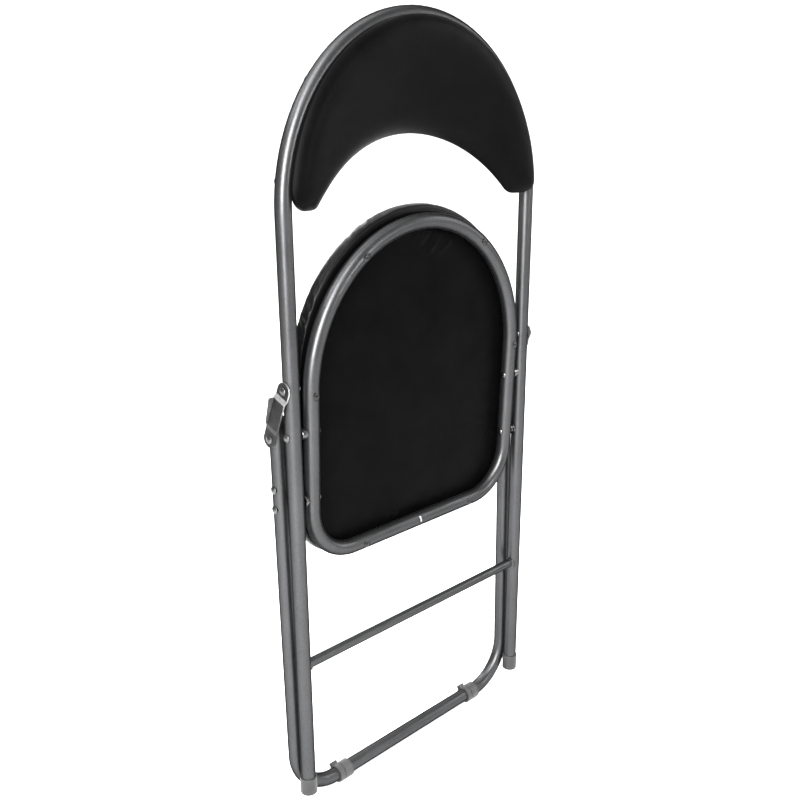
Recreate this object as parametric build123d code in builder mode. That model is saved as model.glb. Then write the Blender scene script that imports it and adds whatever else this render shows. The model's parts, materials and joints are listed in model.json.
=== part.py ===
from build123d import *
from math import asin, atan2, cos, degrees, hypot, radians, sin, sqrt
import os

os.makedirs("parts", exist_ok=True)

# ---------------------------------------------------------------------------
# Driving dimensions, in millimetres and degrees.
# The chair is modelled folded flat and standing upright: +X to its left-right
# width, -Y the side its sitter's back leans on, +Z up along the main tubes.
# ---------------------------------------------------------------------------

# Tubes
tube_r = 9.5                 # 19 mm round steel tube, all three frames
tube_wall = 1.2
bar_r = 6.35                 # 12.7 mm crossbar

# Main frame: an inverted U with a half-round top
main_y = -9.14               # plane of the main frame
main_half = 206.0            # centre line of each leg
foot_z = 32.0                # underside of the foot caps, folded
arch_z = 759.0               # centre of the half-round top
crossbar_z = 217.0

# Pivots, as (y from the main frame's plane, z)
seat_pivot = (0.0, 515.0)
link_pivot = (0.0, 570.0)
rear_pivot = (3.2, 431.5)
rear_top_pivot = (27.0, 508.5)
pin_r = 3.0
run_gap = 0.05               # radial clearance of a turning pin
side_gap = 0.2               # clearance between turning faces

# Seat ring: round at the top when folded, square with round corners below
seat_half = 179.0            # centre line of each rail
seat_lean = 2.2              # the folded seat's top leans this far to the front
seat_round_v = 45.0          # centre of the half-round end, from the seat pivot
seat_bar_v = -167.5          # centre of the square end's bar
seat_corner_r = 66.0
joint_gap = 0.3              # butt joint in the middle of the square end
sleeve_l = 44.0
sleeve_t = 1.0
weld_spot_w = 2.4
weld_spot_h = 0.7

seat_screw_side = 44.0       # v of the screws in the rails
seat_screw_arc = 55.0        # angle of the screws in the round end
seat_screw_bar = 98.5        # x of the screws in the square end
seat_screw_l = 26.4
seat_hole_l = 40.0

# Seat pad, stacked behind the ring
cover_gap = 0.1
cover_t = 0.8
board_t = 9.0
board_out = 7.0              # how far the board stands out from the ring's centre line
cushion_t = 15.0             # above the board
cushion_out = 10.0
cushion_nose = 8.0           # how much further it stands out at the round end
cushion_edge_r = 19.0

# Rear frame: a U behind the main legs
rear_half = 208.0
rear_bar_y = 21.0            # from the main frame's plane
rear_bar_z = 11.3
rear_corner_r = 66.0
rear_top_over = 17.0         # tube above its top pivot
plug_t = 10.0                # domed head of the plug
plug_round = 4.5
plug_in = 8.0

# Back pad: a crescent dished backwards through the arch
pad_rim_r = 205.5            # outer edge, about the centre of the arch
pad_inner_r = 214.0          # concave lower edge
pad_inner_z = 623.5
pad_tip_z = 761.5
pad_hole_r = 76.0            # nearest that it comes to the arch's centre
pad_dish = 0.24              # how fast it falls back towards the middle
pad_board_t = 4.0
pad_tip_fillet = 19.0
pad_board_inset = 2.5
pad_gap = 0.25               # between the arch and the pad's rear face
pad_t = 14.0                 # whole thickness
pad_edge = 8.0               # slope of its front edges
pad_screw_angles = (9.4, 39.3, 140.7, 170.6)
pad_screw_tilt = 30.0        # its screws lean in from the back of the arch
pad_screw_l = 21.5
pad_hole_l = 34.0

# Foot caps
cap_r = 11.0
cap_h = 24.0
cap_t = 3.0
cap_sole_fillet = 1.5
cap_rim_fillet = 0.8

# Screws with cross recesses, each in a flat spot of its tube
screw_r = 2.2
screw_head_r = 4.3
screw_head_h = 1.9
spot_r = 5.4
spot_depth = 0.8
recess_w = 0.8
recess_l = 3.8
recess_depth = 1.2

# Rivets, spacers and washers
head_rim = 0.4
head_stand = 0.3             # a head's foot stands off the side of its tube
head_sink = 3.0              # and reaches in as far as its curve
head_scoop_l = 40.0
rivet_head_r = 4.8
rivet_head_h = 2.3
rivet_tail_r = 4.2
rivet_tail_h = 2.0
spacer_r = 6.5
spacer_chamfer = 0.4
tip_head_h = 1.3             # low head between the bracket's tip and the main leg
bracket_head_h = 1.6
link_head_r = 5.2
weld_w = 2.0
fit_gap = 0.02               # between fixed pieces that fit in one another
through = 1.0                # how far a hole is cut past its faces

# Link straps, each from the link pivot (u = 0) to the rear frame's top pivot
strap_t = 2.0
strap_w = 20.0
strap_top_n = 0.2            # inner face from the main leg's outer side, at each stretch
strap_middle_n = 3.2
strap_end_n = 2.3
strap_steps = (8.0, 13.0, 50.0, 56.0)
lip_t = 1.8
lip_top = 6.5
lip_end = 1.5

# Brackets that carry the seat's rear pivot on the rear frame
bracket_t = 2.0
bracket_r = 8.0
bracket_tip_gap = 4.4        # how far the tip stands in from the leg
bracket_bend = (11.0, 18.0)  # y of the joggle, from the main frame's plane
bracket_rivet_z = (445.8, 421.3)

# Rear foot clips
clip_x = 131.0
clip_w = 22.0
clip_r = 12.2
clip_slot = 4.0
clip_wall = 2.2
clip_lip = 7.0               # the lips beside the slit, at the clip's left end
clip_lip_w = 8.0
clip_groove = 1.0
clip_lip_at = 8.784          # the lips' middle, above and behind the bar
clip_slit_l = 20.0

# ---------------------------------------------------------------------------
# Values worked out from them
# ---------------------------------------------------------------------------
bore_r = tube_r - tube_wall
main_out_x = main_half + tube_r
main_in_x = main_half - tube_r
seat_out_x = seat_half + tube_r
seat_in_x = seat_half - tube_r
rear_out_x = rear_half + tube_r
rear_in_x = rear_half - tube_r

lean_sin = sin(radians(seat_lean))
lean_cos = cos(radians(seat_lean))
seat_plane = Plane(
    origin=(0, main_y + seat_pivot[0], seat_pivot[1]),
    x_dir=(-1, 0, 0),
    z_dir=(0, lean_cos, lean_sin),
)
rear_tilt = degrees(atan2(rear_top_pivot[0] - rear_bar_y, rear_top_pivot[1] - rear_bar_z))
rear_leg_l = hypot(rear_top_pivot[0] - rear_bar_y, rear_top_pivot[1] - rear_bar_z)
rear_plane = Plane(
    origin=(0, main_y + rear_bar_y, rear_bar_z),
    x_dir=(-1, 0, 0),
    z_dir=(0, cos(radians(rear_tilt)), -sin(radians(rear_tilt))),
)
rear_length = rear_leg_l + rear_top_over
joint_plane = Plane(
    origin=seat_plane.from_local_coords((0, seat_bar_v, 0)),
    x_dir=seat_plane.y_dir,
    z_dir=(1, 0, 0),
)
seat_screw_places = (
    (seat_half, seat_screw_side),
    (
        seat_half * cos(radians(seat_screw_arc)),
        seat_round_v + seat_half * sin(radians(seat_screw_arc)),
    ),
    (seat_screw_bar, seat_bar_v),
)
seat_screw_spots = [
    Vector(*seat_plane.from_local_coords((sign * x, v, 0)))
    for x, v in seat_screw_places
    for sign in (1, -1)
]
cover_from = tube_r + cover_gap
board_from = cover_from + cover_t
tip_out_x = rear_in_x - bracket_tip_gap
rear_slope = (rear_top_pivot[0] - rear_bar_y) / (rear_top_pivot[1] - rear_bar_z)
bracket_rivets = tuple((rear_bar_y + rear_slope * (z - rear_bar_z), z) for z in bracket_rivet_z)
strap_l = hypot(rear_top_pivot[0] - link_pivot[0], rear_top_pivot[1] - link_pivot[1])
strap_y = (rear_top_pivot[0] - link_pivot[0]) / strap_l
strap_z = (rear_top_pivot[1] - link_pivot[1]) / strap_l
strap_inner = [
    (-strap_w, strap_top_n),
    (strap_steps[0], strap_top_n),
    (strap_steps[1], strap_middle_n),
    (strap_steps[2], strap_middle_n),
    (strap_steps[3], strap_end_n),
    (strap_l + strap_w, strap_end_n),
]
strap_outer = [(u, n + strap_t) for u, n in reversed(strap_inner)]
pad_lean = radians(pad_screw_tilt)
pad_screw_spots = [
    (
        Vector(main_half * cos(turn), main_y, arch_z + main_half * sin(turn)),
        Vector(-sin(pad_lean) * cos(turn), -cos(pad_lean), -sin(pad_lean) * sin(turn)),
    )
    for turn in (radians(angle) for angle in pad_screw_angles)
]


# ---------------------------------------------------------------------------
# Shared shapes
# ---------------------------------------------------------------------------
def tube_section(path, radius=tube_r, wall=tube_wall):
    """Ring-shaped section of a tube at the start of its centre line."""
    with BuildSketch(Plane(origin=path @ 0, z_dir=path % 0)) as section:
        Circle(radius)
        Circle(radius - wall, mode=Mode.SUBTRACT)
    return section.sketch


def cross_rod(radius, x_from, x_to, at, mode=Mode.ADD):
    """Round rod along X from x_from to x_to, at is its (y, z)."""
    with Locations(((x_from + x_to) / 2, main_y + at[0], at[1])):
        Cylinder(radius, abs(x_to - x_from), rotation=(0, 90, 0), mode=mode)


def cut_upright(x, at, tilt=0.0):
    """Cut away the space of an upright tube, so that a head sits in its curve."""
    with Locations((x, main_y + at[0], at[1])):
        Cylinder(tube_r + fit_gap, head_scoop_l, rotation=(tilt, 0, 0), mode=Mode.SUBTRACT)


def dome(base, out, radius, height, sink=0.0):
    """Domed head on a low rim: its foot at base, its top towards out, sunk below its foot."""
    rise = height - head_rim
    ball = (radius**2 + rise**2) / (2 * rise)
    half = asin(radius / ball) / 2
    middle = (ball * sin(half), ball * cos(half) - (ball - height))
    out = Vector(*out)
    across = out.cross(Vector(0.3, 0.2, 1)).normalized()
    with BuildSketch(Plane(origin=base, x_dir=across, z_dir=across.cross(out))) as profile:
        with BuildLine():
            Polyline((0, height), (0, -sink), (radius, -sink), (radius, head_rim))
            ThreePointArc((radius, head_rim), middle, (0, height))
        make_face()
    revolve(profile.sketch, axis=Axis(base, out))


def side_dome(x, out, at, radius=rivet_head_r, height=rivet_head_h, sink=0.0):
    """Domed rivet head that points along X, at is its (y, z)."""
    dome((x, main_y + at[0], at[1]), (out, 0, 0), radius, height, sink)


def screw(spot, inward, length):
    """Screw whose flat spot is centred at spot, with its tip inward."""
    out = inward * -1
    seat = spot + out * (tube_r - spot_depth)
    dome(seat, out, screw_head_r, screw_head_h)
    head_top = Plane(origin=seat + out * screw_head_h, z_dir=out)
    with Locations(head_top):
        Box(recess_l, recess_w, 2 * recess_depth, mode=Mode.SUBTRACT)
        Box(recess_w, recess_l, 2 * recess_depth, mode=Mode.SUBTRACT)
    with Locations(Plane(origin=seat + inward * (length / 2), z_dir=inward)):
        Cylinder(screw_r, length)


def screw_hole(spot, inward):
    """Hole right through a tube for a screw, with the flat spot that its head sits in."""
    with Locations(Plane(origin=spot, z_dir=inward)):
        Cylinder(screw_r + fit_gap, 2 * (tube_r + through), mode=Mode.SUBTRACT)
    outside = spot - inward * (tube_r - spot_depth + spot_r)
    with Locations(Plane(origin=outside, z_dir=inward)):
        Cylinder(spot_r, 2 * spot_r, mode=Mode.SUBTRACT)


def seat_path(half, round_v, bar_v, corner_r, start=0.0):
    """Half of the seat's outline, from the middle of its square end to its round top."""
    Line((start, bar_v), (half - corner_r, bar_v))
    RadiusArc((half - corner_r, bar_v), (half, bar_v + corner_r), -corner_r)
    Line((half, bar_v + corner_r), (half, round_v))
    RadiusArc((half, round_v), (0, round_v + half), -half)


def seat_face(offset, out, nose=cushion_nose):
    """D-shaped face behind the ring, out beyond its centre line, and nose further at its top."""
    half = seat_half + out
    with BuildSketch(seat_plane.offset(offset)) as outline:
        with BuildLine():
            seat_path(half, seat_round_v + nose, seat_bar_v - out, seat_corner_r + out)
            mirror(about=Plane.YZ)
        make_face()
    return outline.sketch


def pad_back(radius):
    """Y of the back pad's rear face at a radius about the arch's centre."""
    rim_y = -tube_r * sqrt(1 + pad_dish**2) - pad_gap
    return main_y + rim_y + pad_dish * (main_half - radius)


def pad_ring(profile):
    """Dished ring about the arch's centre, from (radius, depth ahead of the rear face) points."""
    with BuildSketch(Plane.YZ) as section:
        with BuildLine():
            Polyline([(pad_back(r) - depth, arch_z + r) for r, depth in profile], close=True)
        make_face()
    revolve(section.sketch, axis=Axis((0, 0, arch_z), (0, 1, 0)))


def pad_crescent(inset):
    """Crescent between the arch and the concave lower edge, drawn in by inset."""
    with BuildSketch(Plane.XZ.offset(pad_inner_r / 2)) as outline:
        with Locations((0, arch_z)):
            Circle(pad_rim_r - inset)
        with Locations((0, pad_inner_z)):
            Circle(pad_inner_r + inset, mode=Mode.SUBTRACT)
        with Locations((0, pad_tip_z + inset - pad_rim_r)):
            Rectangle(4 * pad_rim_r, 2 * pad_rim_r, mode=Mode.SUBTRACT)
        fillet(outline.vertices().group_by(Axis.Z)[0], pad_tip_fillet - inset)
    return outline.sketch


# ---------------------------------------------------------------------------
# Main frame
# ---------------------------------------------------------------------------
with BuildPart() as main_frame_tube:
    with BuildLine(Plane(origin=(0, main_y, 0), x_dir=(1, 0, 0), z_dir=(0, -1, 0))) as leg:
        Line((main_half, foot_z + cap_t), (main_half, arch_z))
        RadiusArc((main_half, arch_z), (0, arch_z + main_half), -main_half)
    sweep(tube_section(leg.line), path=leg.line)
    mirror(about=Plane.YZ)
    for pivot in (seat_pivot, link_pivot):
        cross_rod(pin_r + fit_gap, -main_out_x - through, main_out_x + through, pivot, Mode.SUBTRACT)
    for spot, inward in pad_screw_spots:
        screw_hole(spot, inward)
main_frame_tube.part.label = "main_frame_tube"
export_step(main_frame_tube.part, "parts/main_frame_tube.step")

# Crossbar between the legs, its ends coped to them
with BuildPart() as crossbar:
    cross_rod(bar_r, -main_half, main_half, (0, crossbar_z))
    cross_rod(bar_r - tube_wall, -main_half, main_half, (0, crossbar_z), Mode.SUBTRACT)
    for sign in (-1, 1):
        cut_upright(sign * main_half, (0, crossbar_z))
crossbar.part.label = "crossbar"
export_step(crossbar.part, "parts/crossbar.step")

for side, sign in (("left", -1), ("right", 1)):
    # Weld bead round the crossbar's end, as wide on the leg as on the bar
    with BuildPart() as crossbar_weld:
        cross_rod(bar_r + weld_w, sign * (main_in_x - 2 * weld_w), sign * main_half, (0, crossbar_z))
        with Locations((sign * main_half, main_y, crossbar_z)):
            Cylinder(tube_r + weld_w, 4 * bar_r, mode=Mode.INTERSECT)
        cross_rod(
            bar_r + fit_gap,
            sign * main_in_x / 2,
            sign * main_half,
            (0, crossbar_z),
            Mode.SUBTRACT,
        )
        cut_upright(sign * main_half, (0, crossbar_z))
    crossbar_weld.part.label = f"crossbar_weld_{side}"
    export_step(crossbar_weld.part, f"parts/crossbar_weld_{side}.step")

    # Plastic cap on the leg's foot
    with BuildPart() as foot_cap:
        with Locations((sign * main_half, main_y, foot_z)):
            Cylinder(cap_r, cap_h, align=(Align.CENTER, Align.CENTER, Align.MIN))
        fillet(foot_cap.edges().group_by(Axis.Z)[0], cap_sole_fillet)
        fillet(foot_cap.edges().group_by(Axis.Z)[-1], cap_rim_fillet)
        with Locations((sign * main_half, main_y, foot_z + cap_t)):
            Cylinder(
                tube_r + fit_gap,
                cap_h,
                align=(Align.CENTER, Align.CENTER, Align.MIN),
                mode=Mode.SUBTRACT,
            )
    foot_cap.part.label = f"foot_cap_{side}"
    export_step(foot_cap.part, f"parts/foot_cap_{side}.step")

    # Rivet that the seat turns on, its inner head clear of the seat's rail
    with BuildPart() as seat_pivot_rivet:
        side_dome(sign * (main_out_x + head_stand), sign, seat_pivot, sink=head_sink)
        cut_upright(sign * main_half, seat_pivot)
        side_dome(sign * (seat_in_x - side_gap), -sign, seat_pivot, rivet_tail_r, rivet_tail_h)
        cross_rod(pin_r, sign * (seat_in_x - side_gap), sign * (main_out_x + head_stand), seat_pivot)
    seat_pivot_rivet.part.label = f"seat_pivot_rivet_{side}"
    export_step(seat_pivot_rivet.part, f"parts/seat_pivot_rivet_{side}.step")

    # Spacer between the leg and the seat's rail
    with BuildPart() as seat_pivot_spacer:
        cross_rod(spacer_r, sign * (seat_out_x + side_gap), sign * (main_in_x - fit_gap), seat_pivot)
        chamfer(seat_pivot_spacer.edges(), spacer_chamfer)
        cross_rod(pin_r + fit_gap, sign * seat_half, sign * main_half, seat_pivot, Mode.SUBTRACT)
    seat_pivot_spacer.part.label = f"seat_pivot_spacer_{side}"
    export_step(seat_pivot_spacer.part, f"parts/seat_pivot_spacer_{side}.step")

    # Rivet that the link strap turns on
    with BuildPart() as link_upper_rivet:
        side_dome(sign * main_in_x, -sign, link_pivot, rivet_tail_r, rivet_tail_h, sink=head_sink)
        cut_upright(sign * main_half, link_pivot)
        strap_out_x = main_out_x + strap_top_n + strap_t
        side_dome(sign * (strap_out_x + side_gap), sign, link_pivot)
        cross_rod(pin_r, sign * main_in_x, sign * (strap_out_x + side_gap), link_pivot)
    link_upper_rivet.part.label = f"link_upper_rivet_{side}"
    export_step(link_upper_rivet.part, f"parts/link_upper_rivet_{side}.step")

# ---------------------------------------------------------------------------
# Back pad
# ---------------------------------------------------------------------------
with BuildPart() as back_pad_board:
    board_in = pad_hole_r + pad_board_inset
    pad_ring([(board_in, 0), (pad_rim_r, 0), (pad_rim_r, pad_board_t), (board_in, pad_board_t)])
    extrude(pad_crescent(pad_board_inset), amount=-pad_inner_r, mode=Mode.INTERSECT)
    for spot, inward in pad_screw_spots:
        with Locations(Plane(origin=spot, z_dir=inward)):
            Cylinder(screw_r + fit_gap, pad_hole_l, mode=Mode.SUBTRACT)
back_pad_board.part.label = "back_pad_board"
export_step(back_pad_board.part, "parts/back_pad_board.step")

# Padding and vinyl round the board's edges and over its front
with BuildPart() as back_pad_cushion:
    pad_ring([(pad_hole_r, 0), (main_out_x, 0), (main_out_x, pad_t), (pad_hole_r, pad_t)])
    extrude(pad_crescent(0), amount=-pad_inner_r, mode=Mode.INTERSECT)
    pad_front = back_pad_cushion.faces().filter_by(GeomType.CONE).sort_by(Axis.Y)[0]
    chamfer(pad_front.edges(), pad_edge)
    add(back_pad_board.part, mode=Mode.SUBTRACT)
    for spot, inward in pad_screw_spots:
        with Locations(Plane(origin=spot, z_dir=inward)):
            Cylinder(screw_r + fit_gap, pad_hole_l, mode=Mode.SUBTRACT)
back_pad_cushion.part.label = "back_pad_cushion"
export_step(back_pad_cushion.part, "parts/back_pad_cushion.step")

for number, (spot, inward) in enumerate(pad_screw_spots, start=1):
    with BuildPart() as back_pad_screw:
        screw(spot, inward, pad_screw_l)
    back_pad_screw.part.label = f"back_pad_screw_{number}"
    export_step(back_pad_screw.part, f"parts/back_pad_screw_{number}.step")

# ---------------------------------------------------------------------------
# Seat
# ---------------------------------------------------------------------------
with BuildPart() as seat_ring_tube:
    with BuildLine(seat_plane) as rail:
        seat_path(seat_half, seat_round_v, seat_bar_v, seat_corner_r, joint_gap / 2)
    sweep(tube_section(rail.line), path=rail.line)
    mirror(about=Plane.YZ)
    for pivot, gap in ((seat_pivot, run_gap), (rear_pivot, fit_gap)):
        cross_rod(pin_r + gap, -seat_out_x - through, seat_out_x + through, pivot, Mode.SUBTRACT)
    for spot in seat_screw_spots:
        screw_hole(spot, seat_plane.z_dir)
seat_ring_tube.part.label = "seat_ring_tube"
export_step(seat_ring_tube.part, "parts/seat_ring_tube.step")

# Sleeve inside the ring's butt joint, and the weld spot on the joint
with BuildPart() as seat_joint_sleeve:
    with Locations(joint_plane):
        Cylinder(bore_r - fit_gap, sleeve_l)
        Cylinder(bore_r - fit_gap - sleeve_t, sleeve_l, mode=Mode.SUBTRACT)
seat_joint_sleeve.part.label = "seat_joint_sleeve"
export_step(seat_joint_sleeve.part, "parts/seat_joint_sleeve.step")

with BuildPart() as seat_joint_weld:
    with Locations(joint_plane):
        Cylinder(tube_r + weld_spot_h, weld_spot_w)
        Cylinder(tube_r + fit_gap, weld_spot_w + 2 * through, mode=Mode.SUBTRACT)
    with BuildSketch(joint_plane.offset(-weld_spot_w)) as weld_sector:
        with BuildLine():
            Polyline((0, 0), (0, 2 * tube_r), (2 * tube_r, 2 * tube_r), close=True)
        make_face()
    extrude(weld_sector.sketch, amount=2 * weld_spot_w, mode=Mode.INTERSECT)
seat_joint_weld.part.label = "seat_joint_weld"
export_step(seat_joint_weld.part, "parts/seat_joint_weld.step")

with BuildPart() as seat_board:
    extrude(seat_face(board_from, board_out), amount=board_t)
    for spot in seat_screw_spots:
        with Locations(Plane(origin=spot, z_dir=seat_plane.z_dir)):
            Cylinder(screw_r + fit_gap, seat_hole_l, mode=Mode.SUBTRACT)
seat_board.part.label = "seat_board"
export_step(seat_board.part, "parts/seat_board.step")

# Padding and vinyl round the board's edges and over its top
with BuildPart() as seat_cushion:
    extrude(seat_face(board_from, cushion_out), amount=board_t + cushion_t)
    outwards = Axis(seat_plane.origin, seat_plane.z_dir)
    fillet(seat_cushion.edges().group_by(outwards)[-1], cushion_edge_r)
    extrude(seat_face(board_from, board_out + fit_gap), amount=board_t, mode=Mode.SUBTRACT)
seat_cushion.part.label = "seat_cushion"
export_step(seat_cushion.part, "parts/seat_cushion.step")

with BuildPart() as seat_bottom_cover:
    extrude(seat_face(cover_from, cushion_out), amount=cover_t)
    for spot in seat_screw_spots:
        with Locations(Plane(origin=spot, z_dir=seat_plane.z_dir)):
            Cylinder(screw_r + fit_gap, seat_hole_l, mode=Mode.SUBTRACT)
seat_bottom_cover.part.label = "seat_bottom_cover"
export_step(seat_bottom_cover.part, "parts/seat_bottom_cover.step")

for number, spot in enumerate(seat_screw_spots, start=1):
    with BuildPart() as seat_screw:
        screw(spot, seat_plane.z_dir, seat_screw_l)
    seat_screw.part.label = f"seat_screw_{number}"
    export_step(seat_screw.part, f"parts/seat_screw_{number}.step")

for side, sign in (("left", -1), ("right", 1)):
    # Rivet that the rear frame's bracket turns on
    with BuildPart() as rear_pivot_rivet:
        side_dome(sign * seat_in_x, -sign, rear_pivot, rivet_tail_r, rivet_tail_h, sink=head_sink)
        cut_upright(sign * seat_half, rear_pivot, seat_lean)
        side_dome(sign * (tip_out_x + side_gap), sign, rear_pivot, rivet_tail_r, tip_head_h)
        cross_rod(pin_r, sign * seat_in_x, sign * (tip_out_x + side_gap), rear_pivot)
    rear_pivot_rivet.part.label = f"rear_pivot_rivet_{side}"
    export_step(rear_pivot_rivet.part, f"parts/rear_pivot_rivet_{side}.step")

    # Washer between the seat's rail and the bracket
    with BuildPart() as rear_pivot_washer:
        cross_rod(
            spacer_r,
            sign * (seat_out_x + fit_gap),
            sign * (tip_out_x - bracket_t - side_gap),
            rear_pivot,
        )
        cross_rod(pin_r + fit_gap, sign * seat_half, sign * tip_out_x, rear_pivot, Mode.SUBTRACT)
    rear_pivot_washer.part.label = f"rear_pivot_washer_{side}"
    export_step(rear_pivot_washer.part, f"parts/rear_pivot_washer_{side}.step")

# ---------------------------------------------------------------------------
# Rear frame
# ---------------------------------------------------------------------------
with BuildPart() as rear_frame_tube:
    with BuildLine(rear_plane) as rear_leg:
        Line((0, 0), (rear_half - rear_corner_r, 0))
        RadiusArc((rear_half - rear_corner_r, 0), (rear_half, rear_corner_r), -rear_corner_r)
        Line((rear_half, rear_corner_r), (rear_half, rear_length))
    sweep(tube_section(rear_leg.line), path=rear_leg.line)
    mirror(about=Plane.YZ)
    for at in bracket_rivets + (rear_top_pivot,):
        cross_rod(pin_r + fit_gap, -rear_out_x - through, rear_out_x + through, at, Mode.SUBTRACT)
rear_frame_tube.part.label = "rear_frame_tube"
export_step(rear_frame_tube.part, "parts/rear_frame_tube.step")

for side, sign in (("left", -1), ("right", 1)):
    leg_top = rear_plane.from_local_coords((-sign * rear_half, rear_length, 0))
    top_plane = Plane(origin=leg_top, x_dir=(1, 0, 0), z_dir=rear_plane.y_dir)

    # Plug in the leg's open top
    with BuildPart() as rear_top_plug:
        with Locations(top_plane):
            Cylinder(tube_r, plug_t, align=(Align.CENTER, Align.CENTER, Align.MIN))
        fillet(rear_top_plug.faces().sort_by(Axis.Z)[-1].edges(), plug_round)
        with Locations(top_plane):
            Cylinder(bore_r - fit_gap, plug_in, align=(Align.CENTER, Align.CENTER, Align.MAX))
    rear_top_plug.part.label = f"rear_top_plug_{side}"
    export_step(rear_top_plug.part, f"parts/rear_top_plug_{side}.step")

    # Joggled bracket: flat on the leg's inner side, its tip beside the seat's rail
    bracket_front_y = main_y + rear_pivot[0] - 2 * bracket_r
    bracket_back_y = main_y + rear_top_pivot[0] + 2 * bracket_r
    bracket_low_z = bracket_rivet_z[1] - 2 * bracket_r
    bracket_high_z = bracket_rivet_z[0] + 2 * bracket_r
    with BuildPart() as rear_bracket:
        with BuildSketch(Plane.XY.offset(bracket_low_z)) as bracket_section:
            with BuildLine():
                Polyline(
                    (sign * rear_in_x, bracket_back_y),
                    (sign * rear_in_x, main_y + bracket_bend[1]),
                    (sign * tip_out_x, main_y + bracket_bend[0]),
                    (sign * tip_out_x, bracket_front_y),
                    (sign * (tip_out_x - bracket_t), bracket_front_y),
                    (sign * (tip_out_x - bracket_t), main_y + bracket_bend[0]),
                    (sign * (rear_in_x - bracket_t), main_y + bracket_bend[1]),
                    (sign * (rear_in_x - bracket_t), bracket_back_y),
                    close=True,
                )
            make_face()
        extrude(bracket_section.sketch, amount=bracket_high_z - bracket_low_z)
        with BuildSketch(Plane.YZ) as bracket_outline:
            for at in bracket_rivets + (rear_pivot,):
                with Locations((main_y + at[0], at[1])):
                    Circle(bracket_r)
            make_hull()
        extrude(bracket_outline.sketch, amount=sign * rear_out_x, mode=Mode.INTERSECT)
        cross_rod(pin_r + run_gap, sign * seat_half, sign * rear_half, rear_pivot, Mode.SUBTRACT)
        for at in bracket_rivets:
            cross_rod(pin_r + fit_gap, sign * seat_half, sign * rear_half, at, Mode.SUBTRACT)
    rear_bracket.part.label = f"rear_bracket_{side}"
    export_step(rear_bracket.part, f"parts/rear_bracket_{side}.step")

    for place, at in zip(("upper", "lower"), bracket_rivets):
        with BuildPart() as bracket_rivet:
            side_dome(sign * (rear_out_x + head_stand), sign, at, sink=head_sink)
            cut_upright(sign * rear_half, at, -rear_tilt)
            side_dome(sign * (rear_in_x - bracket_t), -sign, at, rivet_tail_r, bracket_head_h)
            cross_rod(pin_r, sign * (rear_in_x - bracket_t), sign * (rear_out_x + head_stand), at)
        bracket_rivet.part.label = f"bracket_rivet_{side}_{place}"
        export_step(bracket_rivet.part, f"parts/bracket_rivet_{side}_{place}.step")

    # Inner half of the leg's top pivot
    with BuildPart() as top_pivot_tail:
        side_dome(sign * rear_in_x, -sign, rear_top_pivot, rivet_tail_r, rivet_tail_h, sink=head_sink)
        cut_upright(sign * rear_half, rear_top_pivot, -rear_tilt)
        cross_rod(pin_r, sign * rear_in_x, sign * (rear_in_x + head_sink), rear_top_pivot)
    top_pivot_tail.part.label = f"top_pivot_tail_{side}"
    export_step(top_pivot_tail.part, f"parts/top_pivot_tail_{side}.step")

    # Clip round the bottom bar, with a flat sole and a slit between two lips at its back
    clip_plane = Plane(
        origin=(sign * clip_x, main_y + rear_bar_y, rear_bar_z),
        x_dir=(0, 1, 0),
        z_dir=(1, 0, 0),
    )
    with BuildPart() as rear_foot_clip:
        with Locations(clip_plane):
            Cylinder(clip_r, clip_w)
            with Locations((clip_lip_at, clip_lip_at, (clip_lip_w - clip_w) / 2)):
                Box(clip_lip, clip_slot + 2 * clip_wall, clip_lip_w, rotation=(0, 0, 45))
            Cylinder(tube_r + fit_gap, clip_w + 2 * through, mode=Mode.SUBTRACT)
            with Locations((clip_lip_at, clip_lip_at, 0)):
                Box(
                    clip_slit_l,
                    clip_slot,
                    clip_w + 2 * through,
                    rotation=(0, 0, 45),
                    mode=Mode.SUBTRACT,
                )
        with BuildSketch(clip_plane.offset(clip_lip_w - (clip_w + clip_groove) / 2)) as groove:
            Circle(clip_r + clip_groove)
            Circle(clip_r - clip_groove, mode=Mode.SUBTRACT)
        extrude(groove.sketch, amount=clip_groove, mode=Mode.SUBTRACT)
        with Locations((sign * clip_x, main_y + rear_bar_y, -clip_r)):
            Box(3 * clip_r, 3 * clip_r, 2 * clip_r, mode=Mode.SUBTRACT)
    rear_foot_clip.part.label = f"rear_foot_clip_{side}"
    export_step(rear_foot_clip.part, f"parts/rear_foot_clip_{side}.step")

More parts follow.
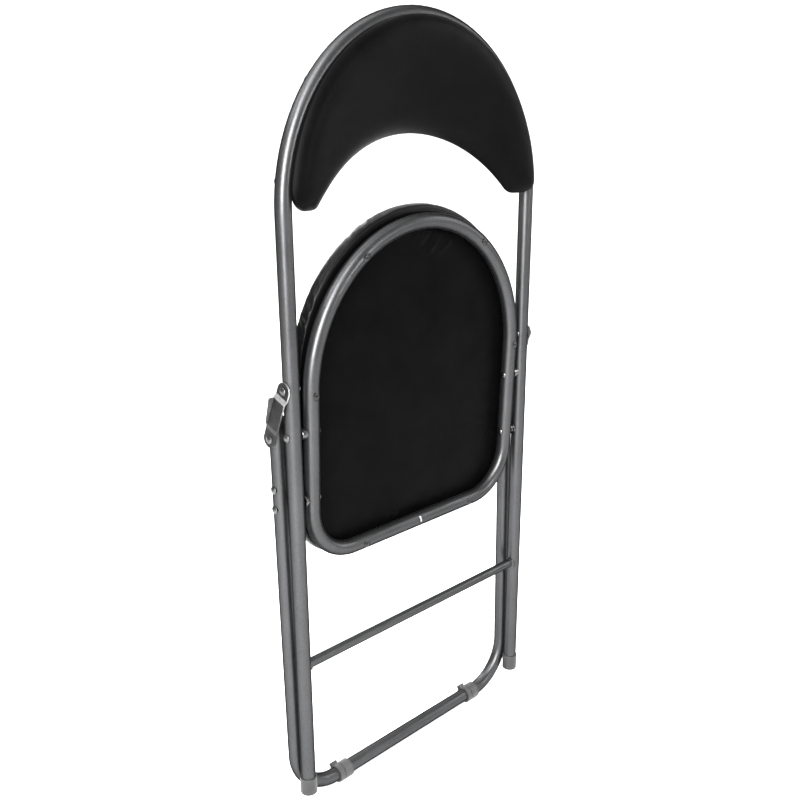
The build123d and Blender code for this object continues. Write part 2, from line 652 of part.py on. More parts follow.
# ---------------------------------------------------------------------------
# Link straps
# ---------------------------------------------------------------------------
for side, sign in (("left", -1), ("right", 1)):
    strap_side = Plane(
        origin=(sign * main_out_x, main_y + link_pivot[0], link_pivot[1]),
        x_dir=(0, strap_y, strap_z),
        z_dir=Vector(0, strap_y, strap_z).cross(Vector(sign, 0, 0)),
    )
    strap_face = Plane(origin=strap_side.origin, x_dir=(0, strap_y, strap_z), z_dir=(sign, 0, 0))
    rear_edge = 1 if strap_face.y_dir.Y > 0 else -1
    lip_middle = (strap_steps[1] + strap_steps[2]) / 2

    with BuildPart() as link:
        with BuildSketch(strap_side.offset(-strap_w)) as strap_section:
            with BuildLine():
                Polyline(strap_inner + strap_outer, close=True)
            make_face()
        extrude(strap_section.sketch, amount=2 * strap_w)
        with BuildSketch(strap_face) as strap_outline:
            with Locations((strap_l / 2, 0)):
                SlotCenterToCenter(strap_l, strap_w)
        extrude(strap_outline.sketch, amount=strap_w, mode=Mode.INTERSECT)
        with BuildSketch(strap_face.offset(strap_middle_n)) as lip_foot:
            with Locations((lip_middle, rear_edge * (strap_w - lip_t) / 2)):
                Rectangle(strap_steps[2] - strap_steps[1], lip_t)
        extrude(lip_foot.sketch, amount=strap_t + lip_top)
        with BuildSketch(strap_side.offset(-strap_w)) as lip_slope:
            with BuildLine():
                Polyline(
                    (strap_steps[1] - through, strap_middle_n + strap_t + lip_top),
                    (strap_steps[2] + through, strap_middle_n + strap_t + lip_end),
                    (strap_steps[2] + through, strap_w + lip_top),
                    (strap_steps[1] - through, strap_w + lip_top),
                    close=True,
                )
            make_face()
        extrude(lip_slope.sketch, amount=2 * strap_w, mode=Mode.SUBTRACT)
        for at, gap in ((link_pivot, run_gap), (rear_top_pivot, fit_gap)):
            cross_rod(pin_r + gap, sign * main_half, sign * (main_out_x + strap_w), at, Mode.SUBTRACT)
    link.part.label = f"link_{side}"
    export_step(link.part, f"parts/link_{side}.step")

    # Outer half of the rear leg's top pivot
    with BuildPart() as link_lower_rivet:
        end_x = main_out_x + strap_end_n
        side_dome(sign * (end_x + strap_t), sign, rear_top_pivot, link_head_r)
        cross_rod(pin_r, sign * end_x, sign * (end_x + strap_t), rear_top_pivot)
    link_lower_rivet.part.label = f"link_lower_rivet_{side}"
    export_step(link_lower_rivet.part, f"parts/link_lower_rivet_{side}.step")
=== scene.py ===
"""Folding chair, stored folded and upright: satin silver tubes, black vinyl pads, zinc hardware.

Metres, in the CAD frame: +X to the chair's width, -Y to the side of the back pad, +Z up.
"""

import json
import math

import bmesh
import bpy
from mathutils import Matrix, Vector, noise


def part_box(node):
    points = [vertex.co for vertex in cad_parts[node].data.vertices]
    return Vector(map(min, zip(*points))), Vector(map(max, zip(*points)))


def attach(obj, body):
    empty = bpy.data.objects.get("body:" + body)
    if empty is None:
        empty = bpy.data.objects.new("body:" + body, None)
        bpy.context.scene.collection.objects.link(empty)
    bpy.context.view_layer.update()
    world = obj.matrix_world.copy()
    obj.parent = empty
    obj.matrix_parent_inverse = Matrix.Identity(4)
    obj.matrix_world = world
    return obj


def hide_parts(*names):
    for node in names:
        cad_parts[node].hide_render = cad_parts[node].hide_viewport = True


MM = 0.001

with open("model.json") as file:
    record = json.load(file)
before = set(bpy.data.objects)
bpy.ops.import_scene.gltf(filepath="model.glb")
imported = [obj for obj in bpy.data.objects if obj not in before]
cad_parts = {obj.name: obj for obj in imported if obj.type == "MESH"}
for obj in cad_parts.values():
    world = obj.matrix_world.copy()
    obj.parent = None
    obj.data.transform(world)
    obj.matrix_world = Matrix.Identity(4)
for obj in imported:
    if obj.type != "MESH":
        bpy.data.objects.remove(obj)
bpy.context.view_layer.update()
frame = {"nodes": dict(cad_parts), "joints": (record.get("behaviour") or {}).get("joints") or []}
nodes = frame["nodes"]
joints = {joint["name"]: joint for joint in frame["joints"]}

# ---------------------------------------------------------------------------
# Measures, from the frame
# ---------------------------------------------------------------------------
main_low, main_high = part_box("main_frame_tube")
MAIN_Y = (main_low.y + main_high.y) / 2
TUBE_R = (main_high.y - main_low.y) / 2
ARCH_R = (main_high.x - main_low.x) / 2 - TUBE_R
ARCH_Z = main_high.z - TUBE_R - ARCH_R

pad_low, pad_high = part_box("back_pad_cushion")
PAD_RIM_R = pad_high.z - ARCH_Z
PAD_TIP_Z = pad_low.z

seat_low, seat_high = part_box("seat_cushion")
ring_low, ring_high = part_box("seat_ring_tube")
SEAT_PIVOT = Vector(joints["seat_fold"]["pos_m"])
REAR_PIVOT = Vector(joints["rear_fold"]["pos_m"])
SEAT_LEAN = math.atan2(REAR_PIVOT.y - SEAT_PIVOT.y, SEAT_PIVOT.z - REAR_PIVOT.z)
RING_HALF = (ring_high.x - ring_low.x) / 2 - TUBE_R

# Directions of the seat's own plane: across, along it towards its round end, and out of its top
SEAT_X = Vector((1, 0, 0))
SEAT_V = Vector((0, -math.sin(SEAT_LEAN), math.cos(SEAT_LEAN)))
SEAT_OUT = Vector((0, math.cos(SEAT_LEAN), math.sin(SEAT_LEAN)))


# ---------------------------------------------------------------------------
# Materials
# ---------------------------------------------------------------------------
# the span that most of a noise's values fall in
NOISE_LOW, NOISE_HIGH = 0.3, 0.7


class Nodes:
    """A material's nodes, with short ways to add and link them."""

    def __init__(self, name):
        self.material = bpy.data.materials.new(name)
        self.material.use_nodes = True
        self.tree = self.material.node_tree
        self.shader = self.tree.nodes["Principled BSDF"]
        self.place = self.tree.nodes.new("ShaderNodeTexCoord").outputs["Object"]

    def add(self, kind, inputs=None, **settings):
        node = self.tree.nodes.new(kind)
        for key, value in settings.items():
            setattr(node, key, value)
        for key, value in (inputs or {}).items():
            if isinstance(value, bpy.types.NodeSocket):
                self.tree.links.new(value, node.inputs[key])
            else:
                node.inputs[key].default_value = value
        return node

    def noise(self, scale, detail=3.0, roughness=0.55, stretch=None):
        place = self.place
        if stretch:
            mapping = self.add("ShaderNodeMapping", {"Vector": place, "Scale": stretch})
            place = mapping.outputs["Vector"]
        inputs = {"Vector": place, "Scale": scale, "Detail": detail, "Roughness": roughness}
        return self.add("ShaderNodeTexNoise", inputs).outputs["Fac"]

    def cells(self, scale, feature="F1"):
        inputs = {"Vector": self.place, "Scale": scale}
        return self.add("ShaderNodeTexVoronoi", inputs, feature=feature).outputs["Distance"]

    def remap(self, value, low, high, to_low, to_high):
        inputs = {"Value": value, "From Min": low, "From Max": high, "To Min": to_low, "To Max": to_high}
        return self.add("ShaderNodeMapRange", inputs).outputs["Result"]

    def spread(self, noise_value, to_low, to_high):
        """A noise stretched over a span of values."""
        return self.remap(noise_value, NOISE_LOW, NOISE_HIGH, to_low, to_high)

    def mix(self, factor, first, second):
        node = self.add("ShaderNodeMix", data_type="RGBA")
        colours = [socket for socket in node.inputs if socket.type == "RGBA"]
        for socket, value in zip(colours, (first, second)):
            if isinstance(value, bpy.types.NodeSocket):
                self.tree.links.new(value, socket)
            else:
                socket.default_value = (*value, 1)
        self.tree.links.new(factor, node.inputs["Factor"])
        return [socket for socket in node.outputs if socket.type == "RGBA"][0]

    def bump(self, height, strength, distance, under=None):
        inputs = {"Height": height, "Strength": strength, "Distance": distance}
        if under:
            inputs["Normal"] = under
        return self.add("ShaderNodeBump", inputs).outputs["Normal"]

    def feed(self, **sockets):
        for name, value in sockets.items():
            socket = self.shader.inputs[name.replace("_", " ")]
            if isinstance(value, bpy.types.NodeSocket):
                self.tree.links.new(value, socket)
            else:
                socket.default_value = value


# how much of their reflection metals keep at grazing angles
EDGE_TINT = (0.03, 0.03, 0.03, 1)


def silver_paint():
    """Satin silver paint: fine metal flake under a soft, slightly rippled coat."""
    m = Nodes("silver_paint")
    cloud = m.noise(14, 4)
    flake = m.cells(1900)
    base = m.mix(m.spread(cloud, 0, 1), (0.044, 0.0445, 0.0455), (0.058, 0.0585, 0.060))
    fleck = m.remap(m.noise(520, 3, 0.6), 0.35, 0.65, 0, 0.5)
    speck = m.mix(fleck, base, (0.080, 0.081, 0.082))
    shade = m.mix(m.remap(flake, 0.1, 0.75, 0, 0.35), speck, (0.030, 0.030, 0.031))
    ripple = m.bump(m.noise(160, 2), 0.12, 0.0004)
    grain = m.bump(flake, 0.14, 0.00014, ripple)
    rough = m.spread(m.noise(45, 3), 0.32, 0.40)
    m.feed(Base_Color=shade, Metallic=0.92, Roughness=rough, Normal=grain)
    m.feed(**{"Specular Tint": EDGE_TINT, "Specular IOR Level": 0.3})
    return m.material


def zinc():
    """Zinc plating, mottled, with fine tumbling scratches."""
    m = Nodes("zinc")
    mottle = m.spread(m.noise(260, 4, 0.6), 0, 1)
    tone = m.mix(mottle, (0.05, 0.05, 0.0495), (0.12, 0.12, 0.119))
    scratch = m.noise(900, 3, 0.6, stretch=(1, 1, 0.12))
    rough = m.spread(m.noise(420, 3), 0.20, 0.36)
    m.feed(Base_Color=tone, Metallic=1.0, Roughness=rough)
    m.feed(Normal=m.bump(scratch, 0.18, 0.0001))
    return m.material


def screw_steel():
    """Duller plating for the screws, coloured dark all over as painted shade for the recesses they sit
    in.
    """
    m = Nodes("screw_steel")
    mottle = m.spread(m.noise(500, 4, 0.6), 0, 1)
    # painted shade: the screws' tone is kept near black to stand in for the shade in their recesses
    tone = m.mix(mottle, (0.018, 0.018, 0.018), (0.05, 0.05, 0.05))
    rough = m.spread(m.noise(700, 3), 0.26, 0.42)
    m.feed(Base_Color=tone, Metallic=1.0, Roughness=rough)
    m.feed(Normal=m.bump(m.noise(1500, 2), 0.2, 0.0001))
    return m.material


def strap_steel(name, side):
    """Plated strip for a link: painted shade on its outer flats, which face side along X, and a painted
    highlight elsewhere, picked by which way each face points.
    """
    m = Nodes(name)
    mottle = m.remap(m.noise(120, 5, 0.6), 0.25, 0.75, 0, 1)
    # painted shade on the outer flats and a painted highlight on the other faces, chosen below by the
    # way the surface faces
    flat = m.mix(mottle, (0.009, 0.009, 0.0095), (0.021, 0.021, 0.021))
    painted_edge_highlight = m.mix(mottle, (0.26, 0.26, 0.262), (0.40, 0.40, 0.40))
    facing = m.add("ShaderNodeNewGeometry").outputs["Normal"]
    across = m.add("ShaderNodeSeparateXYZ", {"Vector": facing}).outputs["X"]
    tone = m.mix(m.remap(across, 0.90 * side, 0.99 * side, 0, 1), painted_edge_highlight, flat)
    drawn = m.noise(700, 3, 0.6, stretch=(1, 0.25, 0.08))
    rough = m.spread(m.noise(300, 3), 0.26, 0.42)
    m.feed(Base_Color=tone, Metallic=0.95, Roughness=rough)
    m.feed(Normal=m.bump(drawn, 0.22, 0.00012))
    return m.material


def moulded_plastic(name, low, high, roughness):
    """Moulded plastic with a fine spark-eroded grain."""
    m = Nodes(name)
    tone = m.mix(m.spread(m.noise(60, 4), 0, 1), (low,) * 3, (high,) * 3)
    grain = m.bump(m.noise(2200, 3), 0.25, 0.00015)
    rough = m.spread(m.noise(240, 3), roughness - 0.05, roughness + 0.05)
    m.feed(Base_Color=tone, Roughness=rough, Normal=grain)
    m.feed(**{"Specular IOR Level": 0.25})
    return m.material


def black_vinyl(name, shine, level, grain_size=1.0):
    """Black upholstery vinyl: pebbled grain, fine creases between the pebbles, soft sheen."""
    m = Nodes(name)
    pebble = m.cells(820 * grain_size, "SMOOTH_F1")
    crease = m.cells(420 * grain_size, "DISTANCE_TO_EDGE")
    cloud = m.noise(22, 4)
    tone = m.mix(m.spread(cloud, 0, 1), (0.0007, 0.0007, 0.0008), (0.0014, 0.0014, 0.0015))
    worn = m.mix(m.remap(pebble, 0.0, 0.6, 0.3, 0), tone, (0.0024, 0.0024, 0.0026))
    deep = m.bump(m.remap(crease, 0, 0.12, 0, 1), 0.16, 0.00022)
    fine = m.bump(pebble, 0.28, 0.00018, deep)
    soft = m.bump(m.noise(38, 3), 0.22, 0.0012, fine)
    rough = m.spread(m.noise(110, 4), shine, shine + 0.10)
    m.feed(Base_Color=worn, Roughness=rough, Normal=soft)
    m.feed(**{"Specular IOR Level": level})
    return m.material


def fibre_board():
    """Dark hardboard that backs the pads, with its pressed weave."""
    m = Nodes("fibre_board")
    fibre = m.noise(500, 5, 0.7)
    tone = m.mix(m.spread(fibre, 0, 1), (0.012, 0.011, 0.010), (0.035, 0.031, 0.027))
    weave = m.cells(900)
    rough = m.spread(m.noise(150, 3), 0.55, 0.75)
    m.feed(Base_Color=tone, Roughness=rough, Normal=m.bump(weave, 0.4, 0.0002))
    return m.material


def weld_steel():
    """Painted weld bead, rippled and a little brighter where the paint is thin; its whole tone, far
    lighter than the tube paint round it, is a painted highlight.
    """
    m = Nodes("weld_bead")
    ripple = m.noise(420, 3)
    # painted highlight: the bead is coloured several times lighter than the silver paint on the tubes
    tone = m.mix(m.remap(ripple, 0.35, 0.7, 0, 1), (0.34, 0.34, 0.345), (0.62, 0.62, 0.62))
    rough = m.spread(m.noise(300, 3), 0.24, 0.4)
    m.feed(Base_Color=tone, Metallic=0.9, Roughness=rough, Normal=m.bump(ripple, 0.6, 0.0006))
    return m.material


PAINT = silver_paint()
ZINC = zinc()
SCREW = screw_steel()
STRAPS = {
    "link_left": strap_steel("strap_steel_left", -1),
    "link_right": strap_steel("strap_steel_right", 1),
}
WELD = weld_steel()
CAP_PLASTIC = moulded_plastic("foot_cap_plastic", 0.018, 0.027, 0.45)
CLIP_PLASTIC = moulded_plastic("clip_plastic", 0.026, 0.038, 0.42)
PLUG_PLASTIC = moulded_plastic("plug_plastic", 0.014, 0.024, 0.4)
SEAT_VINYL = black_vinyl("seat_vinyl", 0.32, 0.08)
PAD_VINYL = black_vinyl("back_pad_vinyl", 0.36, 0.02)
COVER_VINYL = black_vinyl("seat_underside_vinyl", 0.27, 0.010, 1.2)
BOARD = fibre_board()


def finish_of(name):
    """The material of a CAD node, by its name."""
    if name == "seat_joint_weld":
        return WELD
    if name.endswith("_tube") or name.startswith("crossbar") or name == "seat_joint_sleeve":
        return PAINT
    if "_screw_" in name:
        return SCREW
    if name in STRAPS:
        return STRAPS[name]
    if name.startswith("foot_cap"):
        return CAP_PLASTIC
    if name.startswith("rear_foot_clip"):
        return CLIP_PLASTIC
    if name.startswith("rear_top_plug"):
        return PLUG_PLASTIC
    if name.endswith("_board"):
        return BOARD
    if "cushion" in name or "cover" in name:
        return SEAT_VINYL
    return ZINC


for name, node in nodes.items():
    node.data.materials.clear()
    node.data.materials.append(finish_of(name))


# ---------------------------------------------------------------------------
# Mesh helpers
# ---------------------------------------------------------------------------
def new_object(name, points, faces, material):
    """A smooth-shaded mesh object in the scene."""
    mesh = bpy.data.meshes.new(name)
    mesh.from_pydata([tuple(p) for p in points], [], faces)
    mesh.validate()
    mesh.polygons.foreach_set("use_smooth", [True] * len(mesh.polygons))
    mesh.materials.append(material)
    piece = bpy.data.objects.new(name, mesh)
    bpy.context.scene.collection.objects.link(piece)
    return piece


def face_outwards(piece):
    """Turn every face of a closed mesh to point outwards."""
    mesh = bmesh.new()
    mesh.from_mesh(piece.data)
    bmesh.ops.recalc_face_normals(mesh, faces=mesh.faces)
    mesh.to_mesh(piece.data)
    mesh.free()


def ring_faces(rings, count, closed_end=True):
    """Quads between successive rings of count points, and a fan to a last single point."""
    faces = []
    for k in range(rings - 1):
        for i in range(count):
            j = (i + 1) % count
            faces.append((k * count + i, k * count + j, (k + 1) * count + j, (k + 1) * count + i))
    if closed_end:
        last = rings * count
        base = (rings - 1) * count
        faces.extend((base + i, base + (i + 1) % count, last) for i in range(count))
    return faces


def smooth_step(value, low, high):
    """0 below low, 1 above high, and an S curve between."""
    t = min(max((value - low) / (high - low), 0.0), 1.0)
    return t * t * (3 - 2 * t)


def wave(x, y, z, scale):
    """Smooth noise from -1 to 1, with features about 1 / scale across."""
    return noise.noise(Vector((x * scale, y * scale, z * scale)))


# ---------------------------------------------------------------------------
# Seat pad
# ---------------------------------------------------------------------------
# along the seat's plane from its pivot: the centre line of its square end, and the round end's centre
RING_V = (ring_low.z + TUBE_R - SEAT_PIVOT.z) / math.cos(SEAT_LEAN)
CORNER_R = 66 * MM
# how far the cushion stands outside the ring's centre line
SEAT_OVER = (seat_high.x - seat_low.x) / 2 - RING_HALF
ROUND_V = (seat_high.z - SEAT_PIVOT.z) / math.cos(SEAT_LEAN) - RING_HALF - SEAT_OVER


def seat_outline(count):
    """Points and outward normals round the D shape of the ring's centre line.

    The points go from the middle of the square end by the right rail to the round end and back.
    """
    half = RING_HALF
    straight = 2 * (half - CORNER_R)
    rail = ROUND_V - RING_V - CORNER_R
    parts = [
        ("line", straight / 2, Vector((0, RING_V)), Vector((1, 0))),
        ("arc", CORNER_R * math.pi / 2, Vector((half - CORNER_R, RING_V + CORNER_R)), -math.pi / 2),
        ("line", rail, Vector((half, RING_V + CORNER_R)), Vector((0, 1))),
        ("arc", half * math.pi, Vector((0, ROUND_V)), 0.0),
        ("line", rail, Vector((-half, ROUND_V)), Vector((0, -1))),
        ("arc", CORNER_R * math.pi / 2, Vector((CORNER_R - half, RING_V + CORNER_R)), math.pi),
        ("line", straight / 2, Vector((CORNER_R - half, RING_V)), Vector((1, 0))),
    ]
    total = sum(part[1] for part in parts)
    found = []
    for i in range(count):
        along = total * i / count
        for kind, length, start, way in parts:
            if along <= length:
                break
            along -= length
        if kind == "line":
            normal = Vector((way.y, -way.x))
            point = start + way * along
        else:
            radius = CORNER_R if length < half * 2 else half
            turn = way + along / radius
            normal = Vector((math.cos(turn), math.sin(turn)))
            point = start + normal * radius
        found.append((point, normal))
    return found


def seat_point(x, v, out):
    """The point x across, v along and out from the ring's plane, in the shared frame."""
    return SEAT_PIVOT + SEAT_X * x + SEAT_V * v + SEAT_OUT * out


# heights over the ring's plane of the board's lower face and of the vinyl under it
BOARD_OUT = TUBE_R + 0.9 * MM
COVER_OUT = BOARD_OUT - 0.5 * MM
# how far the vinyl reaches outside the ring's centre line
COVER_OVER = 8.6 * MM
CUSHION_POINTS = 900
CUSHION_TOP = 38.2 * MM
# the outline's length as the gathers count it, and how much they lean, in millimetres
GATHER_RUN = 1250
GATHER_LEAN = 0.9
# share of the gathers' depth that is left where the vinyl is drawn smooth
SMOOTH_SHARE = 0.12


def gathers(along, out):
    """Rounded ridges with sharp valleys, broad ones and fine ones together."""
    broad = 0.8 - 2.4 * abs(wave(along / 13, out / 30, 4.2, 1.0))
    fine = 0.5 - 1.5 * abs(wave(along / 6, out / 12, 9.1, 1.0))
    return broad + fine


def gather_depth(x, v):
    """Share of the gathers at a place: deepest in patches on the left of the round end."""
    round_end = smooth_step(v, ROUND_V - 10 * MM, ROUND_V + 55 * MM)
    left = SMOOTH_SHARE + (1 - SMOOTH_SHARE) * smooth_step(-x, 0.03, 0.11)
    patch = 0.45 + 0.55 * smooth_step(wave(x, v, 0.3, 16), -0.25, 0.2)
    return (SMOOTH_SHARE + (1 - SMOOTH_SHARE) * round_end * left) * patch


def seat_cushion():
    """Crowned pad whose vinyl is pulled round the board and gathered at the round end."""
    count = CUSHION_POINTS
    outline = seat_outline(count)
    # millimetres outside the ring's centre line, millimetres out from its plane, share of the gathers
    profile = [
        (5.5, 10.2, 0.0),
        (7.5, 10.3, 0.0),
        (8.3, 10.9, 0.1),
        (8.9, 12.0, 0.45),
        (9.4, 13.6, 0.8),
        (9.8, 15.6, 1.0),
        (10.0, 18.0, 1.0),
        (10.0, 20.6, 0.9),
        (9.7, 23.0, 0.7),
        (9.0, 25.0, 0.45),
        (7.8, 27.0, 0.25),
        (6.0, 28.9, 0.15),
        (3.6, 30.6, 0.1),
        (0.6, 32.0, 0.06),
        (-3.0, 33.1, 0.03),
        (-8.0, 34.1, 0.0),
        (-14.0, 34.8, 0.0),
        (-22.0, 35.4, 0.0),
        (-32.0, 36.0, 0.0),
        (-44.0, 36.6, 0.0),
        (-58.0, 37.1, 0.0),
    ]
    middle = Vector((0, (ROUND_V + RING_V) / 2 + 12 * MM))
    points = []
    for over, out, gather in profile:
        for i, (base, normal) in enumerate(outline):
            if over < 0:
                reach = (base - middle).length
                x, v = middle + (base - middle) * (1 + over * MM / reach)
                puff = wave(x, v, 1.7, 9) * 0.7 * MM
            else:
                x, v = base + normal * (over * MM)
                puff = 0
            depth = gather_depth(x, v) * gather
            pleat = gathers(i / count * GATHER_RUN + out * GATHER_LEAN, out) * depth
            slack = wave(x, v, out * MM * 3, 30) * 0.35
            push = (pleat * 1.5 + slack * 0.5) * MM
            lift = (out + pleat * 0.6) * MM + puff
            points.append(seat_point(x + normal.x * push, v + normal.y * push, lift))
    rings = len(profile)
    steps = 8
    inner = points[(rings - 1) * count :]
    centre = seat_point(middle.x, middle.y, CUSHION_TOP)
    for k in range(1, steps):
        share = k / steps
        dome = 0.9 * math.sin(share * math.pi / 2)
        for edge in inner:
            flat = edge.lerp(centre, share)
            ripple = wave(flat.x, flat.z, 1.7, 9) * 0.5
            points.append(flat + SEAT_OUT * ((dome + ripple) * (1 - share) * MM))
    points.append(centre)
    faces = ring_faces(rings + steps - 1, count)
    # the underside, hidden behind the bottom cover
    under = seat_point(middle.x, middle.y, BOARD_OUT + 0.2 * MM)
    points.append(under)
    last = len(points) - 1
    faces.extend((i, last, (i + 1) % count) for i in range(count))
    piece = new_object("seat_cushion_soft", points, faces, SEAT_VINYL)
    face_outwards(piece)
    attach(piece, "seat")
    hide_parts("seat_cushion")


seat_cushion()


# scale of the folds' heights
FOLD_RISE = 2.1


def cover_folds(x, v):
    """Height of the small folds and puckers in the vinyl stretched over the seat's underside."""
    # start across, start along, bearing in degrees, length, half width, height
    folds = (
        (39, 206, -133, 36, 3.6, 1.7),
        (17, 211, -133, 32, 3.0, 1.2),
        (60, 199, -140, 34, 2.8, 0.9),
        (2, 214, -128, 22, 2.4, 0.6),
        (-44, 207, 24, 26, 2.6, 0.9),
        (-30, 214, -20, 20, 2.4, 0.6),
        (166, 96, 188, 18, 2.2, 0.8),
        (168, 86, 172, 14, 2.0, 0.6),
        (170, -18, 184, 14, 2.2, 0.9),
        (170, -30, 176, 12, 2.0, 0.6),
        (170, -88, 178, 12, 2.4, 1.0),
        (170, -96, 168, 14, 2.0, 0.6),
        (-30, -158, 62, 16, 3.2, 1.0),
        (-44, -158, 80, 12, 2.4, 0.6),
        (60, -158, 110, 14, 2.2, 0.5),
        (-168, 40, 5, 16, 2.2, 0.5),
        (-168, -60, -8, 14, 2.2, 0.5),
    )
    height = 0.0
    for fx, fv, bearing, length, half_width, rise in folds:
        turn = math.radians(bearing)
        dx, dv = x / MM - fx, v / MM - fv
        along = dx * math.cos(turn) + dv * math.sin(turn)
        across = -dx * math.sin(turn) + dv * math.cos(turn)
        across += 1.5 * math.sin(along * 0.12 + fx)
        width = half_width * (1 - 0.35 * min(max(along / length, 0), 1))
        fade = smooth_step(along, -4, 4) * (1 - smooth_step(along, length * 0.35, length))
        height += rise * fade * math.exp(-((across / width) ** 2))
    return height * FOLD_RISE * MM


def seat_cover():
    """The vinyl sheet across the seat's underside, drawn taut with small puckers near its screws."""
    count = 360
    outline = seat_outline(count)
    middle = Vector((0, (ROUND_V + RING_V) / 2))
    steps = 110
    points = []
    for k in range(steps):
        share = 1 - k / steps
        for base, normal in outline:
            edge = base + normal * COVER_OVER
            x, v = middle + (edge - middle) * share
            tuck = 1.1 * MM * smooth_step(share, 0.965, 1.0)
            slack = wave(x, v, 2.2, 16) * 0.35 * MM + wave(x, v, 7.7, 45) * 0.12 * MM
            inside = 1 - smooth_step(share, 0.86, 0.93)
            lift = cover_folds(x, v) + slack * inside
            points.append(seat_point(x, v, COVER_OUT - lift + tuck))
    points.append(seat_point(middle.x, middle.y, COVER_OUT))
    faces = ring_faces(steps, count)
    piece = new_object("seat_underside_sheet", points, faces, COVER_VINYL)
    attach(piece, "seat")
    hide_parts("seat_bottom_cover")
    return piece


underside = seat_cover()


# ---------------------------------------------------------------------------
# Back pad
# ---------------------------------------------------------------------------
# slope of the pad's dish, the concave edge's arc, and the radii of each tip's two corners
PAD_DISH = 0.24
PAD_INNER_R = 214 * MM
PAD_INNER_Z = 623.5 * MM
PAD_OUTER_TIP_R = 22 * MM
PAD_INNER_TIP_R = 19 * MM
# thickness in millimetres of the pad's rounded edge, and the crown's rise above it
PAD_EDGE = 3.6
PAD_RISE = 13.6
RIM_BACK_Y = MAIN_Y - TUBE_R * math.sqrt(1 + PAD_DISH**2) - 0.25 * MM


def pad_back_y(x, z):
    """Y of the pad's rear face, which falls back towards the middle of the arch."""
    return RIM_BACK_Y + PAD_DISH * (ARCH_R - math.hypot(x, z - ARCH_Z))


def crescent(half):
    """Points and outward normals round the pad's crescent, as seen from the front.

    The first half points run from the right tip over the outer edge to the left tip, and the
    rest come back along the concave edge. The tips are round.
    """
    outer_tip, inner_tip = PAD_OUTER_TIP_R, PAD_INNER_TIP_R
    outer_z, inner_z = PAD_TIP_Z + outer_tip, PAD_TIP_Z + inner_tip
    outer_x = math.sqrt((PAD_RIM_R - outer_tip) ** 2 - (outer_z - ARCH_Z) ** 2)
    inner_x = math.sqrt((PAD_INNER_R + inner_tip) ** 2 - (inner_z - PAD_INNER_Z) ** 2)
    outer_turn = math.atan2(outer_z - ARCH_Z, outer_x)
    inner_turn = math.atan2(inner_z - PAD_INNER_Z, inner_x)
    arch_centre, inner_centre = Vector((0, ARCH_Z)), Vector((0, PAD_INNER_Z))
    down = 1.5 * math.pi
    # (centre, radius, first angle, last angle, outward sign)
    outside = [
        (Vector((outer_x, outer_z)), outer_tip, down, 2 * math.pi + outer_turn, 1),
        (arch_centre, PAD_RIM_R, outer_turn, math.pi - outer_turn, 1),
        (Vector((-outer_x, outer_z)), outer_tip, math.pi - outer_turn, down, 1),
    ]
    inside = [
        (Vector((-inner_x, inner_z)), inner_tip, down, 2 * math.pi - inner_turn, 1),
        (inner_centre, PAD_INNER_R, math.pi - inner_turn, inner_turn, -1),
        (Vector((inner_x, inner_z)), inner_tip, math.pi + inner_turn, down, 1),
    ]
    found = []
    for arcs in (outside, inside):
        total = sum(abs(last - first) * radius for _, radius, first, last, _ in arcs)
        for i in range(half):
            along = total * i / half
            for centre, radius, first, last, sign in arcs:
                length = abs(last - first) * radius
                if along <= length:
                    break
                along -= length
            turn = first + (last - first) * along / length
            ray = Vector((math.cos(turn), math.sin(turn)))
            found.append((centre + ray * radius, ray * sign))
    return found


def back_pad():
    """Dished crescent pad: soft side wall, rounded front edges and a low crown."""
    half = 300
    count = 2 * half
    outline = crescent(half)
    # (inset, thickness from the rear face or None on the pillow), round the side to the front
    profile = [(3.2, -0.3), (1.6, 0.0), (0.5, 0.8), (0.1, 2.0), (0.0, 3.2)]
    profile += [(inset, None) for inset in (0.3, 0.8, 1.5, 2.5, 3.8, 5.4, 7.4, 9.6)]
    points = []

    def pillow(x, z):
        """Thickness of the stuffed front, which falls off softly towards every edge."""
        from_edges = (
            PAD_RIM_R - math.hypot(x, z - ARCH_Z),
            math.hypot(x, z - PAD_INNER_Z) - PAD_INNER_R,
            z - PAD_TIP_Z,
        )
        full = 1.0
        for distance, fall in zip(from_edges, (9.5, 8.0, 6.5)):
            full *= 1 - math.exp(-max(distance / MM, 0) / fall)
        return PAD_EDGE + PAD_RISE * full

    def place(x, z, thick):
        ripple = wave(x, z, 0.4, 9) * 0.8 * MM + wave(x, z, 3.1, 30) * 0.22 * MM
        points.append(Vector((x, pad_back_y(x, z) - thick * MM - ripple * min(thick / 8, 1), z)))

    for inset, thick in profile:
        for base, normal in outline:
            x, z = base - normal * (inset * MM)
            place(x, z, pillow(x, z) if thick is None else thick)
    rings = len(profile)
    first_inner = (rings - 1) * count
    faces = ring_faces(rings, count, closed_end=False)
    # strips across the front, from the outer edge to the concave one
    steps = 26
    start = len(points)
    edge_inset = profile[-1][0]
    for i in range(1, half):
        outer, inner = outline[i], outline[count - i]
        a = outer[0] - outer[1] * (edge_inset * MM)
        b = inner[0] - inner[1] * (edge_inset * MM)
        for k in range(1, steps):
            share = k / steps
            x, z = a.lerp(b, share)
            place(x, z, pillow(x, z))

    def strip(i, k):
        if k == 0 or i == 0 or i == half:
            return first_inner + i
        if k == steps:
            return first_inner + (count - i) % count
        return start + (i - 1) * (steps - 1) + k - 1

    for i in range(half):
        for k in range(steps):
            face = []
            for corner in (strip(i, k), strip(i, k + 1), strip(i + 1, k + 1), strip(i + 1, k)):
                if corner not in face:
                    face.append(corner)
            if len(face) > 2:
                faces.append(tuple(face))
    # the rear, hidden by the board
    for i in range(1, half - 1):
        faces.append((i, i + 1, count - i - 1, count - i))
    faces.append((0, 1, count - 1))
    faces.append((half - 1, half, half + 1))
    piece = new_object("back_pad_soft", points, faces, PAD_VINYL)
    face_outwards(piece)
    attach(piece, "main_frame")
    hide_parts("back_pad_cushion")


back_pad()


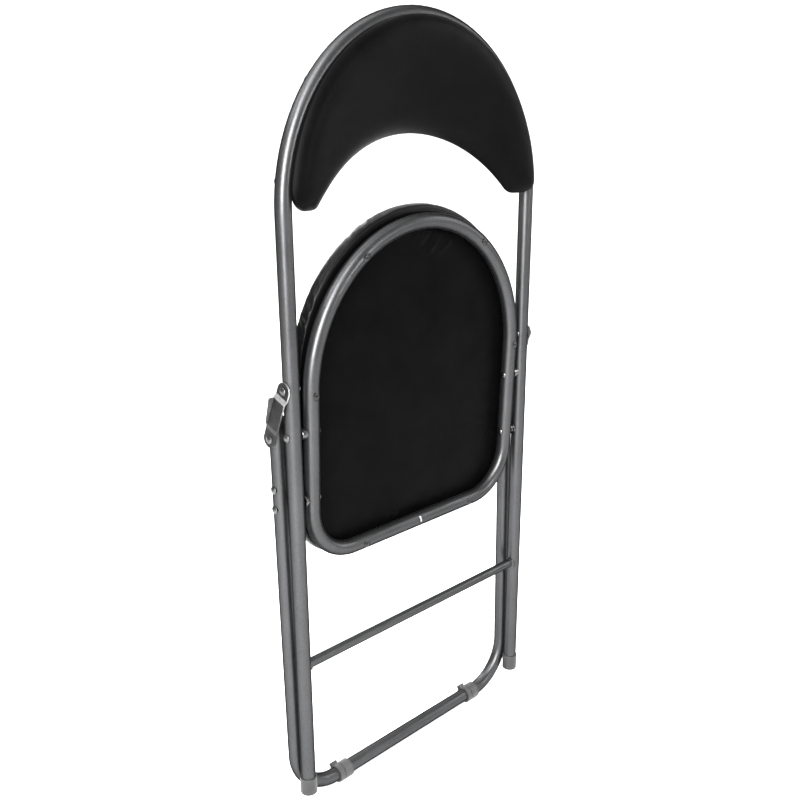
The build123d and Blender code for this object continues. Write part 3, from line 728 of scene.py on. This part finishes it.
# ---------------------------------------------------------------------------
# Floor, light and camera
# ---------------------------------------------------------------------------
def lit_floor():
    """A pale studio floor that turns up into a backdrop well behind the chair."""
    half, near, far, bend, top = 7.0, 6.0, 4.2, 1.6, 9.0
    path = [(-near, 0.0), (far, 0.0)]
    path += [(far + bend * math.sin(a), bend - bend * math.cos(a)) for a in (0.3, 0.6, 0.9, 1.2, 1.5)]
    path += [(far + bend, top)]
    turn = Matrix.Rotation(math.radians(-45), 3, "Z")
    points = []
    for y, z in path:
        for x in (-half, half):
            points.append(turn @ Vector((x, y, z)))
    faces = [(2 * i, 2 * i + 1, 2 * i + 3, 2 * i + 2) for i in range(len(path) - 1)]
    m = Nodes("studio_floor")
    tone = m.mix(m.spread(m.noise(3, 3), 0, 1), (0.86, 0.86, 0.86), (0.89, 0.89, 0.89))
    m.feed(Base_Color=tone, Roughness=m.spread(m.noise(40, 2), 0.7, 0.8))
    m.feed(**{"Specular IOR Level": 0.1})
    floor = new_object("studio_floor", points, faces, m.material)


lit_floor()


def area_light(name, place, aim, width, height, power):
    """A rectangular light at a place, turned to an aim."""
    data = bpy.data.lights.new(name, "AREA")
    data.shape = "RECTANGLE"
    data.size = width
    data.size_y = height
    data.energy = power
    light = bpy.data.objects.new(name, data)
    light.location = place
    light.rotation_euler = (Vector(aim) - Vector(place)).to_track_quat("-Z", "Y").to_euler()
    bpy.context.scene.collection.objects.link(light)


SKY_STRENGTH = 0.62
world = bpy.data.worlds.new("studio")
world.use_nodes = True
world.node_tree.nodes["Background"].inputs["Color"].default_value = (1, 1, 1, 1)
world.node_tree.nodes["Background"].inputs["Strength"].default_value = SKY_STRENGTH
bpy.context.scene.world = world
bpy.context.scene.view_settings.view_transform = "Standard"

LIGHTS = (
    # name, place, aim, width, height, power
    ("left_strip", (-1.95, -1.3, 1.5), (0, 0, 0.7), 0.9, 2.0, 250),
    ("back_left", (-1.5, 0.9, 2.6), (0, 0, 0.7), 0.8, 0.8, 26),
    ("high_left", (-1.0, -0.5, 2.5), (0, 0, 0.7), 0.9, 0.9, 45),
    ("behind", (0.9, 2.8, 1.9), (0, 0, 0.6), 0.9, 1.6, 85),
    ("front", (0.9, -2.6, 1.2), (0, 0, 0.6), 0.7, 0.7, 34),
    ("top", (0.2, 0.6, 3.2), (0, 0, 0.3), 2.4, 2.4, 90),
    ("right_strip", (2.2, -1.2, 1.3), (0, 0, 0.6), 0.35, 1.8, 34),
    ("backdrop", (1.5, 1.5, 3.6), (3.8, 3.8, 1.4), 3.0, 1.2, 150),
)
for light in LIGHTS:
    area_light(*light)

# The camera stands to the front left, a little above the arch
CAMERA_FROM_MAIN = Vector((-838.7, -803.0, 850.5)) * MM
CAMERA_TURN = math.radians(-45.01)
CAMERA_DIP = math.radians(18.79)
CAMERA_ROLL = math.radians(-0.385)
CAMERA_LENS = 42.59
CAMERA_SENSOR = 36
CAMERA_SHIFT_Y = 0.0551
forward = Vector(
    (
        -math.sin(CAMERA_TURN) * math.cos(CAMERA_DIP),
        math.cos(CAMERA_TURN) * math.cos(CAMERA_DIP),
        -math.sin(CAMERA_DIP),
    )
)
level_right = Vector((math.cos(CAMERA_TURN), math.sin(CAMERA_TURN), 0))
level_up = level_right.cross(forward)
right = level_right * math.cos(CAMERA_ROLL) + level_up * math.sin(CAMERA_ROLL)
up = level_up * math.cos(CAMERA_ROLL) - level_right * math.sin(CAMERA_ROLL)
camera_data = bpy.data.cameras.new("camera")
camera_data.lens = CAMERA_LENS
camera_data.sensor_width = CAMERA_SENSOR
camera_data.shift_y = CAMERA_SHIFT_Y
camera = bpy.data.objects.new("camera", camera_data)
camera.matrix_world = Matrix.Translation(CAMERA_FROM_MAIN + Vector((0, MAIN_Y, 0))) @ Matrix(
    (right, up, -forward)
).transposed().to_4x4()
bpy.context.scene.collection.objects.link(camera)
bpy.context.scene.camera = camera

bpy.context.view_layer.update()
